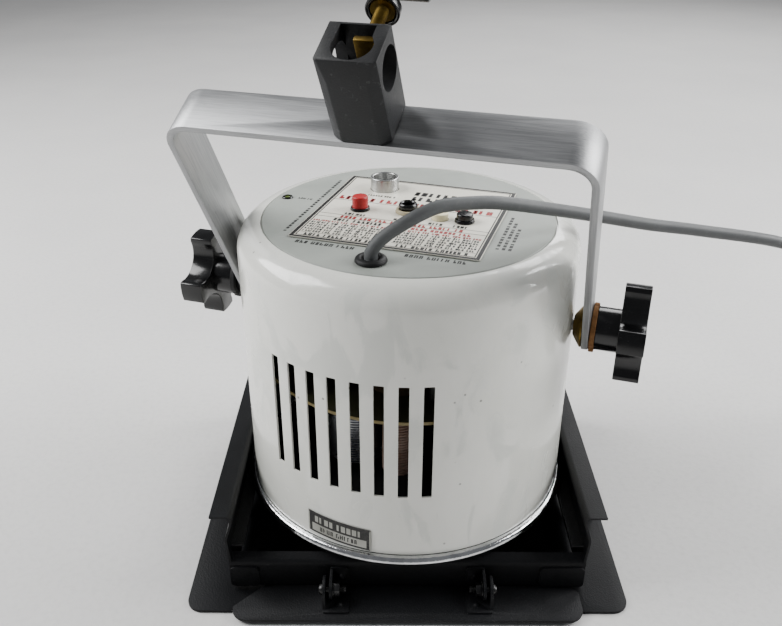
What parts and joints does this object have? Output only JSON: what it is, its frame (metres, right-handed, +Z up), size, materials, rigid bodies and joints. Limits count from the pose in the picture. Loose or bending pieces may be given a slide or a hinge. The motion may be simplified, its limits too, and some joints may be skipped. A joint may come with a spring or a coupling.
{
  "type": "studio flash head",
  "caption": "Can-shaped studio flash head with a tilting U-yoke, stand clamp, hinged barn doors and a coiled mains cord, standing face down.",
  "frame": {"origin": "underside of the closed barn-door leaves at the ring's middle, on the table, under the can's own axis", "axes": "+Z up along the can's axis, +X to the right along the front leaf, +Y away from the front leaf"},
  "size_m": [0.5544, 0.2098, 0.2999],
  "materials": {
    "white_enamel": "gloss enamel, scuffed",
    "grey_enamel": "satin grey paint",
    "black_wrinkle": "fine black wrinkle paint",
    "black_satin": "satin black paint",
    "printed_plate": "printed off-white plate",
    "small_plate": "two-tone plate",
    "polished_rim": "polished",
    "spun_aluminium": "satin spun",
    "yoke_aluminium": "satin, scratched",
    "chrome": "bright plate",
    "brass": "dull",
    "steel": "zinc plate",
    "black_gloss": "moulded, glossy",
    "red_plastic": "moulded",
    "cream_plastic": "moulded",
    "beige_fibre": "matt",
    "brown_fibre": "vulcanised fibre",
    "green_lens": "clear green",
    "black_rubber": "matt",
    "grey_cord": "matt grey sheath",
    "board": "bare laminate",
    "brown_sleeve": "sleeve",
    "resistor_body": "fired",
    "ceramic": "unglazed",
    "bulb_glass": "clear"
  },
  "bodies": {
    "head": {"can_shell": "white_enamel", "front_rim": "polished_rim", "reflector_bowl": "spun_aluminium", "lamp_base": "ceramic", "lamp_socket": "ceramic", "modelling_lamp": "bulb_glass", "flash_tube": "bulb_glass", "circuit_board": "board", "board_post_1": "steel", "board_post_2": "steel", "board_post_3": "steel", "capacitor_1": "brown_sleeve", "capacitor_2": "brown_sleeve", "capacitor_3": "brown_sleeve", "choke_coil": "steel", "ribbed_resistor": "resistor_body", "rear_disc": "grey_enamel", "control_panel": "printed_plate", "umbrella_tube": "chrome", "red_collar": "black_gloss", "black_collar": "black_gloss", "jack_base": "beige_fibre", "sync_jack": "black_gloss", "ready_lamp": "green_lens", "cord_grommet": "black_rubber", "serial_plate": "small_plate", "pivot_stud_right": "steel", "pivot_stud_left": "steel", "mains_cord": "grey_cord", "cord_coil": "grey_cord", "mains_plug": "black_rubber"},
    "barn_door_ring": {"barn_frame": "black_wrinkle", "hinge_bolt_front_1": "steel", "hinge_bolt_front_2": "steel", "hinge_bolt_back_1": "steel", "hinge_bolt_back_2": "steel", "hinge_bolt_left_1": "steel", "hinge_bolt_left_2": "steel", "hinge_bolt_right_1": "steel", "hinge_bolt_right_2": "steel"},
    "yoke_arm": {"yoke": "yoke_aluminium", "clamp_block": "black_satin", "clamp_bolt": "black_satin", "spacer_right": "brass", "spacer_left": "black_satin", "washer_left": "black_satin", "fibre_washer_right": "brown_fibre", "fibre_washer_left": "black_satin"},
    "stand_screw": {"clamp_screw": "brass", "clamp_t_bar": "black_gloss"},
    "stand_pad": {"pressure_pad": "brass"},
    "right_knob": {"knob_right": "black_gloss"},
    "left_knob": {"knob_left": "black_gloss"},
    "front_leaf": {"leaf_front": "black_wrinkle"},
    "back_leaf": {"leaf_back": "black_wrinkle"},
    "left_leaf": {"leaf_left": "black_wrinkle"},
    "right_leaf": {"leaf_right": "black_wrinkle"},
    "test_button": {"red_button": "red_plastic"},
    "lamp_button": {"cream_button": "cream_plastic"},
    "power_button": {"black_button": "black_gloss"}
  },
  "joints": [
    {"name": "ring_turn", "type": "hinge", "parent": "head", "child": "barn_door_ring", "pos_m": [0, 0, 0.03], "axis": [0, 0, 1], "range_deg": [-180, 180]},
    {"name": "yoke_tilt", "type": "hinge", "parent": "head", "child": "yoke_arm", "pos_m": [0, 0, 0.1328], "axis": [0.9527, -0.304, 0], "range_deg": [-25, 75]},
    {"name": "right_knob_turn", "type": "hinge", "parent": "head", "child": "right_knob", "pos_m": [0, 0, 0.1328], "axis": [0.9527, -0.304, 0], "range_deg": [-180, 180]},
    {"name": "left_knob_turn", "type": "hinge", "parent": "head", "child": "left_knob", "pos_m": [0, 0, 0.1328], "axis": [0.9527, -0.304, 0], "range_deg": [-180, 180]},
    {"name": "stand_screw_turn", "type": "hinge", "parent": "yoke_arm", "child": "stand_screw", "pos_m": [-0.01543, -0.06183, 0.28582], "axis": [0.2646, 0.8292, 0.4924], "range_deg": [-180, 180]},
    {"name": "stand_pad_slide", "type": "slide", "parent": "yoke_arm", "child": "stand_pad", "axis": [-0.2646, -0.8292, -0.4924], "range_m": [0, 0.003]},
    {"name": "front_leaf_hinge", "type": "hinge", "parent": "barn_door_ring", "child": "front_leaf", "pos_m": [0, -0.0915, 0.0112], "axis": [-1, 0, 0], "range_deg": [0, 110]},
    {"name": "back_leaf_hinge", "type": "hinge", "parent": "barn_door_ring", "child": "back_leaf", "pos_m": [0, 0.0915, 0.0112], "axis": [1, 0, 0], "range_deg": [0, 110]},
    {"name": "left_leaf_hinge", "type": "hinge", "parent": "barn_door_ring", "child": "left_leaf", "pos_m": [-0.1032, 0, 0.0093], "axis": [0, 1, 0], "range_deg": [0, 110]},
    {"name": "right_leaf_hinge", "type": "hinge", "parent": "barn_door_ring", "child": "right_leaf", "pos_m": [0.1032, 0, 0.0093], "axis": [0, -1, 0], "range_deg": [0, 110]},
    {"name": "test_button_press", "type": "slide", "parent": "head", "child": "test_button", "axis": [0, 0, -1], "range_m": [0, 0.0025], "stiffness_N_per_m": 300},
    {"name": "lamp_button_press", "type": "slide", "parent": "head", "child": "lamp_button", "axis": [0, 0, -1], "range_m": [0, 0.0025], "stiffness_N_per_m": 300},
    {"name": "power_button_press", "type": "slide", "parent": "head", "child": "power_button", "axis": [0, 0, -1], "range_m": [0, 0.0025], "stiffness_N_per_m": 300}
  ]
}
